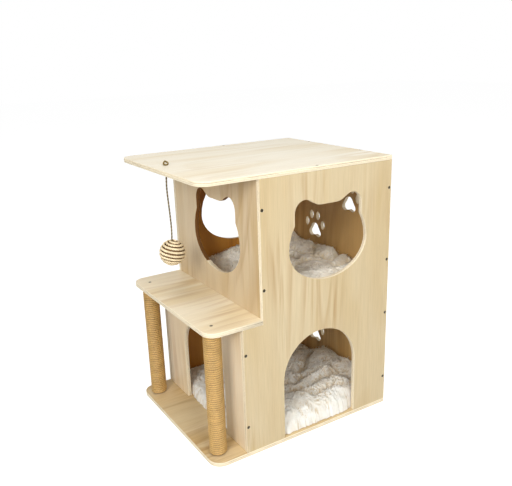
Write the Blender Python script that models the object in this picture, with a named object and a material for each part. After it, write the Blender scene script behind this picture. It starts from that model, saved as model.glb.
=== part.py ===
"""Two-level cat house of plywood, with two wound posts, a ball on a cord and two plush mats.

Metres, +Z up. The origin is at the centre of the base panel's underside.
+X runs along the wide front from the shelf side to the closed side, and +Y runs to the back.
"""

import math

import bmesh
import bpy
from mathutils import Matrix, Vector

# House
HEIGHT = 0.600
SHELF_HEIGHT = 0.303
DEPTH = 0.388
LOWER_WIDTH = 0.386
STEP = 0.048
OVERHANG = 0.078
PLY = 0.0095
CORNER_RADIUS = 0.028
GAP = 0.0003

# Cat-head windows: WINDOW_MARGIN is left under the chin and over the ears in the upper storey,
# and the shares are of the height between
WINDOW_MARGIN = 0.055
HEAD_HALF_WIDTH = 0.102
CHIN_SHARE = 0.4225
CHEEK_SHARE = 0.563
EAR_SHARE = 0.155
CROWN_SHARE = 0.087
EAR_OUTER = 0.087
EAR_TIP = 0.0615
EAR_FOOT = 0.022
FRONT_WINDOW_OFFSET = 0.216
SIDE_WINDOW_OFFSET = 0.183

# Arched doors
DOOR_RADIUS = 0.0975
DOOR_SPRING = 0.136
FRONT_DOOR_OFFSET = 0.1937
SIDE_DOOR_OFFSET = 0.1855

# Paw cut-outs in the right wall
PAD_WIDTH = 0.048
PAD_HEIGHT = 0.036
TOE_WIDTH = 0.015
TOE_HEIGHT = 0.023
PAD_LOBE_SHARE = 0.40
PAD_SHOULDER_SHARE = 0.55
PAD_CROWN_SHARE = 0.60
PAD_NOTCH_SHARE = 0.12
TOE_PLACES = ((0.0125, 0.020), (0.0315, -0.001))
PAW_PLACES = ((0.260, 0.076), (0.1285, 0.167))

# Screws
HEAD_DIAMETER = 0.007
SHANK_DIAMETER = 0.0035
HEAD_DEPTH = 0.0024
SCREW_LENGTH = 0.030
SCREW_TIP = 0.004
SCREW_RECESS = 0.0002
SCREW_SIDES = 10
SCREW_FROM_ENDS = 0.0705
SCREW_BELOW_SHELF = 0.067
SCREW_ABOVE_SHELF = 0.0625
TOP_FRONT_SCREW = 0.188
SIDE_SCREW_SPOTS = (0.098, 0.290)
BASE_FRONT_SCREWS = (0.060, 0.326)
BASE_LEFT_SCREWS = (0.048, 0.335)

# Posts
POST_INSET_X = 0.029
POST_INSET_Y = 0.040
POST_CORE_DIAMETER = 0.026
ROPE_THICKNESS = 0.005
POST_LOOPS = 24
POST_LOOP_POINTS = 12
ROPE_CLEARANCE = 0.0006
LOOP_GAP = 0.0007

# Ball on its cord
BALL_OFFSET_X = 0.0335
BALL_OFFSET_Y = 0.212
BALL_DIAMETER = 0.0572
BALL_CENTRE_HEIGHT = 0.411
BALL_ROPE = 0.006
BALL_PITCH = 0.0085
BALL_LOOP_POINTS = 16
BALL_START_ANGLE = 24.0
BALL_LEAN = 10.0
BALL_LEAN_AXIS = (0.53, 0.85, 0.0)
BALL_CORE_CLEARANCE = 0.0005
CORD_DIAMETER = 0.003
CORD_STEP = 0.0075
BEND_DIAMETER = 0.0032
CORD_HOLE_DIAMETER = 0.005
KNOT_LOBE = 0.0020
KNOT_RISE = 0.0020
KNOT_POINTS = 30
KNOT_BEND_SHARE = 0.9
KNOT_START_ANGLE = 60.0
KNOT_OPEN_ANGLE = 26.0

# Mats
MAT_MARGIN = 0.004
MAT_HEIGHT = 0.048
MAT_SEAM = 0.016
MAT_FULLNESS = 6.0
MAT_RISE = 0.30
MAT_SQUARENESS = 5.0
MAT_DRAW_IN = 0.005
MAT_FOLD = 0.0045
MAT_FOLD_WAVES = ((38, 55), (-30, 24))
MAT_FOOT_SHARE = 0.96
MAT_RINGS = 7
MAT_POINTS = 36

LEFT = -(OVERHANG + LOWER_WIDTH) / 2
RIGHT = -LEFT
LOWER_LEFT = LEFT + OVERHANG
UPPER_LEFT = LOWER_LEFT + STEP
FRONT = -DEPTH / 2
BACK = DEPTH / 2
TOP_UNDERSIDE = HEIGHT - PLY
SHELF_UNDERSIDE = SHELF_HEIGHT - PLY


def clear_scene():
    for old in list(bpy.data.objects):
        bpy.data.objects.remove(old, do_unlink=True)


def make_material(name, colour, roughness, metallic=0.0):
    material = bpy.data.materials.new(name)
    material.use_nodes = True
    shader = material.node_tree.nodes["Principled BSDF"]
    shader.inputs["Base Color"].default_value = (*colour, 1.0)
    shader.inputs["Roughness"].default_value = roughness
    shader.inputs["Metallic"].default_value = metallic
    material.diffuse_color = (*colour, 1.0)
    return material


def add_object(name, bm, material=None, location=(0, 0, 0), parent=None, smooth=False):
    bmesh.ops.recalc_face_normals(bm, faces=bm.faces)
    mesh = bpy.data.meshes.new(name)
    bm.to_mesh(mesh)
    bm.free()
    if smooth:
        mesh.shade_smooth()
        mesh.set_sharp_from_angle(angle=math.radians(40))
    thing = bpy.data.objects.new(name, mesh)
    thing.location = location
    bpy.context.collection.objects.link(thing)
    if parent:
        thing.parent = parent
        thing.location = Vector(location) - parent_place(parent)
    if material:
        mesh.materials.append(material)
    return thing


def parent_place(parent):
    place = parent.location.copy()
    if parent.parent:
        place += parent_place(parent.parent)
    return place


def add_empty(name, location, parent=None):
    empty = bpy.data.objects.new(name, None)
    empty.empty_display_size = 0.02
    empty.location = location
    bpy.context.collection.objects.link(empty)
    if parent:
        empty.parent = parent
        empty.location = Vector(location) - parent_place(parent)
    return empty


def join_bmesh(target, source):
    """Copies the faces of source into target and frees source."""
    scratch = bpy.data.meshes.new("scratch")
    source.to_mesh(scratch)
    source.free()
    target.from_mesh(scratch)
    bpy.data.meshes.remove(scratch)


# The three planes that a board can lie in: what maps an outline's (u, v) and depth w to X, Y, Z
FLAT = Matrix(((1, 0, 0), (0, 1, 0), (0, 0, 1))).to_4x4()
FACING_FRONT = Matrix(((1, 0, 0), (0, 0, 1), (0, 1, 0))).to_4x4()
FACING_SIDE = Matrix(((0, 0, 1), (1, 0, 0), (0, 1, 0))).to_4x4()


def slab(outline, plane, low, high):
    """A closed board: the outline, filled, from depth low to depth high in its plane."""
    bm = bmesh.new()
    corners = [bm.verts.new((u, v, low)) for u, v in outline]
    face = bm.faces.new(corners)
    raised = bmesh.ops.extrude_face_region(bm, geom=[face])
    moved = [item for item in raised["geom"] if isinstance(item, bmesh.types.BMVert)]
    bmesh.ops.translate(bm, verts=moved, vec=(0, 0, high - low))
    bmesh.ops.transform(bm, matrix=plane, verts=bm.verts)
    bmesh.ops.recalc_face_normals(bm, faces=bm.faces)
    return bm


def arc(centre, radius_u, radius_v, start, end, steps):
    """Points on an ellipse's arc, from the start angle to the end angle in degrees."""
    points = []
    for k in range(steps + 1):
        angle = math.radians(start + (end - start) * k / steps)
        points.append((centre[0] + radius_u * math.cos(angle), centre[1] + radius_v * math.sin(angle)))
    return points


def mirrored(points):
    """The right half of an outline with its mirror image, about u = 0, joined into a loop."""
    left = [(-u, v) for u, v in reversed(points) if u > GAP]
    return points + left


def moved_outline(points, offset_u, offset_v):
    return [(u + offset_u, v + offset_v) for u, v in points]


def rounded_left_rectangle(right, front, back):
    """A board's plan, with rounded corners on the open left side."""
    r = CORNER_RADIUS
    points = [(right, front), (right, back)]
    points += arc((LEFT + r, back - r), r, r, 90, 180, 7)
    points += arc((LEFT + r, front + r), r, r, 180, 270, 7)
    return points


def cat_head_outline():
    """The window: a round face with two ears, about u = 0 and the upper storey's floor."""
    tall = TOP_UNDERSIDE - SHELF_HEIGHT - 2 * WINDOW_MARGIN
    chin = tall * CHIN_SHARE
    centre = (0, WINDOW_MARGIN + chin)
    ear_top = WINDOW_MARGIN + tall
    ear_height = tall * EAR_SHARE
    points = arc(centre, HEAD_HALF_WIDTH, chin, -90, 0, 12)
    cheek_end = math.degrees(math.acos(EAR_OUTER / HEAD_HALF_WIDTH))
    points += arc(centre, HEAD_HALF_WIDTH, tall * CHEEK_SHARE, 0, cheek_end, 3)[1:]
    points += arc((EAR_TIP, ear_top - ear_height), EAR_OUTER - EAR_TIP, ear_height, 0, 90, 6)
    for k in range(1, 7):
        share = k / 6
        drop = tall * CROWN_SHARE * (1 - math.cos(math.pi * share)) / 2
        points.append((EAR_TIP + (EAR_FOOT - EAR_TIP) * share, ear_top - drop))
    return mirrored(points)


def arch_outline(below):
    """The door: straight sides under a half circle, open at the floor."""
    points = [(DOOR_RADIUS, -below)]
    points += arc((0, DOOR_SPRING), DOOR_RADIUS, DOOR_RADIUS, 0, 90, 12)
    return mirrored(points)


def paw_outlines():
    """The pad and four toes of one paw, about the middle of the pad's lower edge."""
    half = PAD_WIDTH / 2
    lobe = half * PAD_LOBE_SHARE
    shoulder = PAD_HEIGHT - half * PAD_SHOULDER_SHARE
    pad = [(0.0, PAD_HEIGHT * PAD_NOTCH_SHARE)]
    pad += arc((half - lobe, lobe), lobe, lobe, -100, 20, 4)
    pad += arc((0, shoulder), half * PAD_CROWN_SHARE, PAD_HEIGHT - shoulder, 15, 90, 4)
    outlines = [mirrored(pad)]
    for spread, rise in TOE_PLACES:
        for side in (-1, 1):
            centre = (side * spread, PAD_HEIGHT + rise)
            toe = arc(centre, TOE_WIDTH / 2, TOE_HEIGHT / 2, 0, 324, 9)
            outlines.append(toe)
    return outlines


def turned(profile, sides):
    """A closed body turned about Z from a profile of (radius, height) with both ends on the axis."""
    bm = bmesh.new()
    rings = []
    for radius, height in profile:
        if radius == 0:
            rings.append([bm.verts.new((0, 0, height))])
            continue
        ring = []
        for k in range(sides):
            angle = 2 * math.pi * k / sides
            ring.append(bm.verts.new((radius * math.cos(angle), radius * math.sin(angle), height)))
        rings.append(ring)
    for low, high in zip(rings, rings[1:]):
        for k in range(sides):
            n = (k + 1) % sides
            corners = [low[k % len(low)], low[n % len(low)], high[n % len(high)], high[k % len(high)]]
            bm.faces.new(list(dict.fromkeys(corners)))
    return bm


def screw_profile(grow):
    """The countersunk screw, head up at height 0, grown all round for the hole that it sits in."""
    head = HEAD_DIAMETER / 2 + grow
    shank = SHANK_DIAMETER / 2 + grow
    profile = [(0, -SCREW_RECESS), (head, -SCREW_RECESS), (shank, -SCREW_RECESS - HEAD_DEPTH)]
    if grow:
        profile = [(0, 0.002), (head, 0.002), (head, -SCREW_RECESS), (shank, -SCREW_RECESS - HEAD_DEPTH)]
    profile += [(shank, SCREW_TIP - SCREW_LENGTH - grow), (0, -SCREW_LENGTH - 2 * grow)]
    return profile


def screw_turn(direction):
    """The rotation that points a screw's shank along the direction."""
    return Vector((0, 0, -1)).rotation_difference(Vector(direction)).to_matrix().to_4x4()


def screw_cutter(place, direction):
    bm = turned(screw_profile(GAP), SCREW_SIDES)
    bmesh.ops.transform(bm, matrix=Matrix.Translation(place) @ screw_turn(direction), verts=bm.verts)
    bmesh.ops.recalc_face_normals(bm, faces=bm.faces)
    return bm


def cut(board, cutters):
    """Takes the cutters, joined into one hidden mesh, out of the board."""
    tool = bmesh.new()
    for cutter in cutters:
        join_bmesh(tool, cutter)
    helper = add_object("cutter_" + board.name, tool)
    helper.hide_render = True
    helper.display_type = "WIRE"
    modifier = board.modifiers.new("cut", "BOOLEAN")
    modifier.operation = "DIFFERENCE"
    modifier.solver = "EXACT"
    modifier.object = helper


def tube(points, sections):
    """A tube through rings of corners, one ring for each point, with flat ends."""
    bm = bmesh.new()
    rings = [[bm.verts.new(corner) for corner in ring] for ring in sections]
    for low, high in zip(rings, rings[1:]):
        for k in range(len(low)):
            n = (k + 1) % len(low)
            bm.faces.new((low[k], low[n], high[n], high[k]))
    bm.faces.new(rings[0])
    bm.faces.new(rings[-1])
    return bm


def section_ring(point, tangent, outward, shape):
    """A section's corners: shape holds (outward, upward) offsets from the point."""
    up = tangent.cross(outward).normalized()
    if up.z < 0:
        up = -up
    out = tangent.cross(up).normalized()
    if out.dot(outward) < 0:
        out = -out
    return [point + out * a + up * b for a, b in shape]


def least_gap(name, rings, loop_points):
    """Prints the least distance from points along each loop's edges to those of the next loop."""
    edges = []
    for low, high in zip(rings, rings[1:]):
        for share in (0.0, 0.25, 0.5, 0.75):
            edges.append([a.lerp(b, share) for a, b in zip(low, high)])
    turn = 4 * loop_points
    least = 1.0
    for k in range(len(edges) - turn - 4):
        for other in edges[k + turn - 4:k + turn + 5]:
            for a in edges[k]:
                for b in other:
                    least = min(least, (a - b).length)
    print(name, "least gap to itself", round(least * 1000, 2), "mm")


def straight_ends(points, length):
    """Adds a straight run of one tube diameter at each end of a route."""
    first = points[0] + (points[0] - points[1]).normalized() * length
    last = points[-1] + (points[-1] - points[-2]).normalized() * length
    return [first] + points + [last]


def wind(name, points, shape, centre, loop_points, material, parent=None):
    """One unbroken tube along a winding's points, each section facing away from the centre."""
    rings = []
    for k, point in enumerate(points):
        before = points[max(k - 1, 0)]
        after = points[min(k + 1, len(points) - 1)]
        rings.append(section_ring(point, (after - before).normalized(), centre(point), shape))
    least_gap(name, rings[1:-1], loop_points)
    place = Vector((0, 0, 0))
    if parent:
        place = parent_place(parent)
    bm = tube(points, [[corner - place for corner in ring] for ring in rings])
    return add_object(name, bm, material, place, parent, smooth=True)


def build_materials():
    return {
        "plywood": make_material("plywood", (0.74, 0.58, 0.38), 0.55),
        "sisal": make_material("sisal", (0.55, 0.36, 0.15), 0.9),
        "cream_rope": make_material("cream_rope", (0.72, 0.55, 0.33), 0.9),
        "cord": make_material("cord", (0.30, 0.22, 0.13), 0.9),
        "plush": make_material("plush", (0.80, 0.77, 0.72), 1.0),
        "steel": make_material("steel", (0.25, 0.24, 0.22), 0.4, 0.9),
        "core_wood": make_material("core_wood", (0.45, 0.30, 0.16), 0.7),
        "foam": make_material("foam", (0.16, 0.10, 0.05), 0.9),
    }


def post_places():
    x = LEFT + POST_INSET_X
    return {"front": (x, FRONT + POST_INSET_Y), "rear": (x, BACK - POST_INSET_Y)}


def cord_place():
    return (LEFT + BALL_OFFSET_X, FRONT + BALL_OFFSET_Y)


def wall_screw_levels():
    below, above = SHELF_HEIGHT - SCREW_BELOW_SHELF, SHELF_HEIGHT + SCREW_ABOVE_SHELF
    return (SCREW_FROM_ENDS, below, above, HEIGHT - SCREW_FROM_ENDS)


def screw_list():
    """Every screw: its name, the middle of its head, its direction and the two pieces it joins."""
    half = PLY / 2
    lower_left, upper_left, right = LOWER_LEFT + half, UPPER_LEFT + half, RIGHT - half
    screws = []
    for wall, y, direction in (("front", FRONT, (0, 1, 0)), ("back", BACK, (0, -1, 0))):
        for n, level in enumerate(wall_screw_levels(), 1):
            lower = level < SHELF_HEIGHT
            left_x = lower_left if lower else upper_left
            left_wall = "lower_left_wall" if lower else "upper_left_wall"
            pair = (f"{wall}_wall", left_wall)
            screws.append((f"{wall}_left_screw_{n}", (left_x, y, level), direction, pair))
            pair = (f"{wall}_wall", "right_wall")
            screws.append((f"{wall}_right_screw_{n}", (right, y, level), direction, pair))
    down, up = (0, 0, -1), (0, 0, 1)
    for wall, y in (("front", FRONT + half), ("back", BACK - half)):
        place = (LOWER_LEFT + TOP_FRONT_SCREW, y, HEIGHT)
        screws.append((f"top_{wall}_screw", place, down, ("top_panel", f"{wall}_wall")))
        for n, offset in enumerate(BASE_FRONT_SCREWS, 1):
            place = (LOWER_LEFT + offset, y, 0)
            screws.append((f"base_{wall}_screw_{n}", place, up, ("base_panel", f"{wall}_wall")))
    for n, offset in enumerate(SIDE_SCREW_SPOTS, 1):
        y = FRONT + offset
        screws.append((f"top_right_screw_{n}", (right, y, HEIGHT), down, ("top_panel", "right_wall")))
        screws.append((f"base_right_screw_{n}", (right, y, 0), up, ("base_panel", "right_wall")))
        place = (RIGHT, y, SHELF_HEIGHT - half)
        screws.append((f"floor_screw_{n}", place, (-1, 0, 0), ("right_wall", "shelf_and_floor")))
    for n, offset in enumerate(BASE_LEFT_SCREWS, 1):
        place = (lower_left, FRONT + offset, 0)
        screws.append((f"base_left_screw_{n}", place, up, ("base_panel", "lower_left_wall")))
    for end, (x, y) in post_places().items():
        core = f"{end}_post_core"
        screws.append((f"shelf_{end}_screw", (x, y, SHELF_HEIGHT), down, ("shelf_and_floor", core)))
        screws.append((f"base_{end}_post_screw", (x, y, 0), up, ("base_panel", core)))
    return screws


def build_end_wall(name, y_low, material):
    """The front or back wall: one L-shaped board with a window over an arched door."""
    low, top = PLY + GAP, TOP_UNDERSIDE - GAP
    ledge = SHELF_UNDERSIDE - GAP
    outline = [(LOWER_LEFT, low), (RIGHT, low), (RIGHT, top)]
    outline += [(UPPER_LEFT, top), (UPPER_LEFT, ledge), (LOWER_LEFT, ledge)]
    wall = add_object(name, slab(outline, FACING_FRONT, y_low, y_low + PLY), material)
    window = moved_outline(cat_head_outline(), LOWER_LEFT + FRONT_WINDOW_OFFSET, SHELF_HEIGHT)
    door = moved_outline(arch_outline(PLY), LOWER_LEFT + FRONT_DOOR_OFFSET, PLY)
    cutters = [slab(shape, FACING_FRONT, y_low - PLY, y_low + 2 * PLY) for shape in (window, door)]
    return wall, cutters


def build_side_board(name, x_low, low, high, material):
    outline = [(FRONT + PLY + GAP, low), (BACK - PLY - GAP, low)]
    outline += [(BACK - PLY - GAP, high), (FRONT + PLY + GAP, high)]
    return add_object(name, slab(outline, FACING_SIDE, x_low, x_low + PLY), material)


def side_cutter(outline, x_low):
    return slab(outline, FACING_SIDE, x_low - PLY, x_low + 2 * PLY)


def build_side_walls(material):
    """The three side boards, each with the cutters for its openings."""
    top = TOP_UNDERSIDE - GAP
    upper = build_side_board("upper_left_wall", UPPER_LEFT, SHELF_HEIGHT + GAP, top, material)
    window = moved_outline(cat_head_outline(), FRONT + SIDE_WINDOW_OFFSET, SHELF_HEIGHT)
    lower = build_side_board("lower_left_wall", LOWER_LEFT, PLY + GAP, SHELF_UNDERSIDE - GAP, material)
    door = moved_outline(arch_outline(PLY), FRONT + SIDE_DOOR_OFFSET, PLY)
    right = build_side_board("right_wall", RIGHT - PLY, PLY + GAP, top, material)
    paws = []
    for floor in (PLY, SHELF_HEIGHT):
        for offset, rise in PAW_PLACES:
            for outline in paw_outlines():
                placed = moved_outline(outline, FRONT + offset, floor + rise - PAD_HEIGHT / 2)
                paws.append(side_cutter(placed, RIGHT - PLY))
    return {
        "upper_left_wall": (upper, [side_cutter(window, UPPER_LEFT)]),
        "lower_left_wall": (lower, [side_cutter(door, LOWER_LEFT)]),
        "right_wall": (right, paws),
    }


def build_flat_boards(material):
    """The base, the shelf board that runs on as the upper floor, and the top."""
    plan = rounded_left_rectangle(RIGHT, FRONT, BACK)
    base = add_object("base_panel", slab(plan, FLAT, 0, PLY), material)
    shelf_end = UPPER_LEFT - GAP
    inner_front, inner_back = FRONT + PLY + GAP, BACK - PLY - GAP
    inner_right = RIGHT - PLY - GAP
    corners = rounded_left_rectangle(shelf_end, FRONT, BACK)
    plan_shelf = [(shelf_end, FRONT), (shelf_end, inner_front), (inner_right, inner_front)]
    plan_shelf += [(inner_right, inner_back), (shelf_end, inner_back)] + corners[1:]
    shelf = add_object("shelf_and_floor", slab(plan_shelf, FLAT, SHELF_UNDERSIDE, SHELF_HEIGHT), material)
    top = add_object("top_panel", slab(plan, FLAT, TOP_UNDERSIDE, HEIGHT), material)
    hole = CORD_HOLE_DIAMETER / 2
    drill = turned([(0, -PLY), (hole, -PLY), (hole, 2 * PLY), (0, 2 * PLY)], 12)
    x, y = cord_place()
    bmesh.ops.translate(drill, verts=drill.verts, vec=(x, y, TOP_UNDERSIDE))
    return {"base_panel": (base, []), "shelf_and_floor": (shelf, []), "top_panel": (top, [drill])}


def build_posts(materials):
    """Two round cores between base and shelf, each with its winding."""
    boards = {}
    low, high = PLY + GAP, SHELF_UNDERSIDE - GAP
    radius = POST_CORE_DIAMETER / 2
    for end, (x, y) in post_places().items():
        bm = turned([(0, 0), (radius, 0), (radius, high - low), (0, high - low)], 20)
        core = add_object(f"{end}_post_core", bm, materials["core_wood"], (x, y, low), smooth=True)
        boards[core.name] = (core, [])
        wind_post(f"{end}_post_winding", Vector((x, y, 0)), low, high, materials["sisal"])
    return boards


def wind_post(name, axis, low, high, material):
    """The rope round a post: loops with flat inner sides against the core."""
    pitch = (high - low) / (POST_LOOPS + 1)
    half_height = (pitch - LOOP_GAP) / 2
    radius = POST_CORE_DIAMETER / 2 + ROPE_CLEARANCE + ROPE_THICKNESS / 2
    count = POST_LOOPS * POST_LOOP_POINTS
    start = low + pitch / 2
    points = []
    for k in range(count + 1):
        angle = 2 * math.pi * k / POST_LOOP_POINTS
        height = start + pitch * k / POST_LOOP_POINTS
        points.append(axis + Vector((radius * math.cos(angle), radius * math.sin(angle), height)))
    points = straight_ends(points, ROPE_THICKNESS)
    half = ROPE_THICKNESS / 2
    shape = [(-half, -half_height * 0.8), (half * 0.5, -half_height), (half, 0)]
    shape += [(half * 0.5, half_height), (-half, half_height * 0.8)]
    wind(name, points, shape, lambda point: outward_from(axis, point), POST_LOOP_POINTS, material)


def outward_from(axis, point):
    away = point - axis
    away.z = 0
    return away.normalized()


def ball_core_radius():
    """What the rope's flats leave inside the winding, less the clearance."""
    route_radius = (BALL_DIAMETER - BALL_ROPE) / 2
    facet = math.cos(math.pi / BALL_LOOP_POINTS)
    return route_radius * facet - BALL_ROPE / 2 - BALL_CORE_CLEARANCE


def build_ball(materials, parent, place):
    """The ball: a round core and one rope wound over it from pole to pole."""
    route_radius = (BALL_DIAMETER - BALL_ROPE) / 2
    core_radius = ball_core_radius()
    profile = arc((0, 0), core_radius, core_radius, -90, 90, 10)
    profile = [(0, -core_radius)] + profile[1:-1] + [(0, core_radius)]
    add_object("ball_core", turned(profile, 16), materials["foam"], place, parent, smooth=True)
    first = math.radians(BALL_START_ANGLE)
    travel = math.pi - 2 * first
    loops = travel * route_radius / BALL_PITCH
    count = round(loops * BALL_LOOP_POINTS)
    lean = Matrix.Rotation(math.radians(BALL_LEAN), 3, BALL_LEAN_AXIS)
    points = []
    for k in range(count + 1):
        polar = first + travel * k / count
        turn = 2 * math.pi * loops * k / count
        flat = route_radius * math.sin(polar)
        offset = Vector((flat * math.cos(turn), flat * math.sin(turn), route_radius * math.cos(polar)))
        points.append(Vector(place) + lean @ offset)
    points = straight_ends(points, BALL_ROPE)
    shape = [(BALL_ROPE / 2 * math.cos(a), BALL_ROPE / 2 * math.sin(a)) for a in six_angles()]
    centre = Vector(place)
    wind("ball_winding", points, shape, lambda point: (point - centre).normalized(),
         BALL_LOOP_POINTS, materials["cream_rope"], parent)


def six_angles():
    return [math.pi * k / 3 for k in range(6)]


def cord_curve(name, points, thickness, resolution, material, parent=None):
    """A round cord through its points, with filled ends."""
    curve = bpy.data.curves.new(name, "CURVE")
    curve.dimensions = "3D"
    curve.bevel_depth = thickness / 2
    curve.bevel_resolution = resolution
    curve.use_fill_caps = True
    place = Vector((0, 0, 0))
    if parent:
        place = parent_place(parent)
    spline = curve.splines.new("POLY")
    spline.points.add(len(points) - 1)
    for slot, point in zip(spline.points, points):
        slot.co = (*(Vector(point) - place), 1.0)
    curve.materials.append(material)
    thing = bpy.data.objects.new(name, curve)
    bpy.context.collection.objects.link(thing)
    if parent:
        thing.parent = parent
    return thing


def knot_route(x, y):
    """An overhand knot that lies on the top panel, from the cord's end in the hole to its tail."""
    centre_height = HEIGHT + CORD_DIAMETER / 2 + KNOT_RISE + 2 * GAP
    points = []
    for k in range(KNOT_POINTS + 1):
        travel = (360 - 2 * KNOT_OPEN_ANGLE) * k / KNOT_POINTS
        t = math.radians(KNOT_START_ANGLE + KNOT_OPEN_ANGLE + travel)
        u = KNOT_LOBE * (math.sin(t) + 2 * math.sin(2 * t))
        v = KNOT_LOBE * (math.cos(t) - 2 * math.cos(2 * t))
        points.append(Vector((u, v, centre_height - KNOT_RISE * math.sin(3 * t))))
    tangent = (points[0] - points[1]).normalized()
    down = Vector((0, 0, -1))
    bend = CORD_DIAMETER * KNOT_BEND_SHARE
    lead = []
    for degrees in (90, 60, 30):
        angle = math.radians(degrees)
        lead.append(points[0] + tangent * bend * math.sin(angle) + down * bend * (1 - math.cos(angle)))
    foot = Vector((lead[0].x, lead[0].y, TOP_UNDERSIDE + GAP))
    route = [foot, (foot + lead[0]) / 2] + lead + points
    route.append(points[-1] + (points[-1] - points[-2]).normalized() * CORD_DIAMETER)
    shift = Vector((x - foot.x, y - foot.y, 0))
    return [point + shift for point in route]


def build_cord_and_ball(materials):
    """The knot on the top, the bend at the hole, the hanging cord and the ball."""
    x, y = cord_place()
    cord_curve("top_knot", knot_route(x, y), CORD_DIAMETER, 1, materials["cord"])
    pivot = (x, y, TOP_UNDERSIDE - BEND_DIAMETER / 2)
    sideways = add_empty("sideways_pivot", pivot)
    endways = add_empty("endways_pivot", pivot, sideways)
    half = BEND_DIAMETER / 2
    profile = [(0, -half)] + arc((0, 0), half, half, -60, 60, 4) + [(0, half)]
    add_object("cord_bend", turned(profile, 10), materials["cord"], pivot, sideways, smooth=True)
    ball_place = (x, y, BALL_CENTRE_HEIGHT)
    spin = add_empty("ball_axis", ball_place, endways)
    build_ball(materials, spin, ball_place)
    low = BALL_CENTRE_HEIGHT + ball_core_radius() + GAP
    high = pivot[2] - half - GAP
    count = round((high - low) / CORD_STEP)
    route = [(x, y, high + (low - high) * k / count) for k in range(count + 1)]
    cord_curve("hanging_cord", route, CORD_DIAMETER, 2, materials["cord"], endways)


def mat_crown(share, side):
    """The height over the seam, from the middle (0) to the edge (1), fuller towards the right side."""
    crown = math.sqrt(max(0.0, 1 - share ** MAT_FULLNESS))
    return (MAT_HEIGHT - MAT_SEAM) * crown * (1 + MAT_RISE * side)


def mat_outline(half_x, half_y, angle):
    """A square plan with rounded corners whose sides are drawn in between the corners."""
    c, s = math.cos(angle), math.sin(angle)
    power = 2 / MAT_SQUARENESS
    x = math.copysign(abs(c) ** power, c)
    y = math.copysign(abs(s) ** power, s)
    pull_x = MAT_DRAW_IN * (1 - y * y)
    pull_y = MAT_DRAW_IN * (1 - x * x)
    return x * (half_x - pull_x), y * (half_y - pull_y)


def build_mat(name, left, right, floor, material):
    """A plush mat: a flat underside, a seam round it and a crowned top with soft folds."""
    front, back = FRONT + PLY + MAT_MARGIN, BACK - PLY - MAT_MARGIN
    half_x, half_y = (right - left) / 2 - MAT_MARGIN, (back - front) / 2
    bm = bmesh.new()
    angles = [2 * math.pi * (k + 0.5) / MAT_POINTS for k in range(MAT_POINTS)]

    def ring(share, height_of):
        corners = []
        for angle in angles:
            x, y = mat_outline(half_x, half_y, angle)
            x, y = x * share, y * share
            corners.append(bm.verts.new((x, y, height_of(x, y, share))))
        return corners

    def top(x, y, share):
        (across, along), (across_2, along_2) = MAT_FOLD_WAVES
        fold = math.sin(across * x + along * y) * math.sin(across_2 * x + along_2 * y)
        return MAT_SEAM + mat_crown(share, x / half_x) + MAT_FOLD * fold * (1 - share)

    rings = [ring(MAT_FOOT_SHARE, lambda x, y, share: 0.0), ring(1.0, lambda x, y, share: MAT_SEAM)]
    for k in range(1, MAT_RINGS):
        rings.append(ring(math.cos(math.pi / 2 * k / MAT_RINGS), top))
    peak = bm.verts.new((0, 0, top(0, 0, 0)))
    for low, high in zip(rings, rings[1:]):
        for k in range(MAT_POINTS):
            n = (k + 1) % MAT_POINTS
            bm.faces.new((low[k], low[n], high[n], high[k]))
    for k in range(MAT_POINTS):
        bm.faces.new((rings[-1][k], rings[-1][(k + 1) % MAT_POINTS], peak))
    bm.faces.new(rings[0])
    place = ((left + right) / 2, (front + back) / 2, floor + GAP)
    add_object(name, bm, material, place, smooth=True)


def build_house():
    clear_scene()
    materials = build_materials()
    plywood = materials["plywood"]
    pieces = build_flat_boards(plywood)
    pieces["front_wall"] = build_end_wall("front_wall", FRONT, plywood)
    pieces["back_wall"] = build_end_wall("back_wall", BACK - PLY, plywood)
    pieces.update(build_side_walls(plywood))
    pieces.update(build_posts(materials))
    for name, place, direction, joined in screw_list():
        bm = turned(screw_profile(0), SCREW_SIDES)
        bmesh.ops.transform(bm, matrix=screw_turn(direction), verts=bm.verts)
        add_object(name, bm, materials["steel"], place, smooth=True)
        for piece in joined:
            pieces[piece][1].append(screw_cutter(place, direction))
    for board, cutters in pieces.values():
        if cutters:
            cut(board, cutters)
    build_cord_and_ball(materials)
    build_mat("upper_mat", UPPER_LEFT + PLY, RIGHT - PLY, SHELF_HEIGHT, materials["plush"])
    build_mat("lower_mat", LOWER_LEFT + PLY, RIGHT - PLY, PLY, materials["plush"])


build_house()
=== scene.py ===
"""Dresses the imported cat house: plywood, rope, cord, plush and screws, with its camera and lights.

Metres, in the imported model's frame: +Z up, +X along the wide front from the shelf side to the
closed side, +Y to the back. The origin is the centre of the base panel's underside. Only the mats'
forms and the knot's route are written in millimetres.
"""

import math

import bmesh
import bpy
import numpy as np
from mathutils import Matrix, Vector, noise


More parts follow.
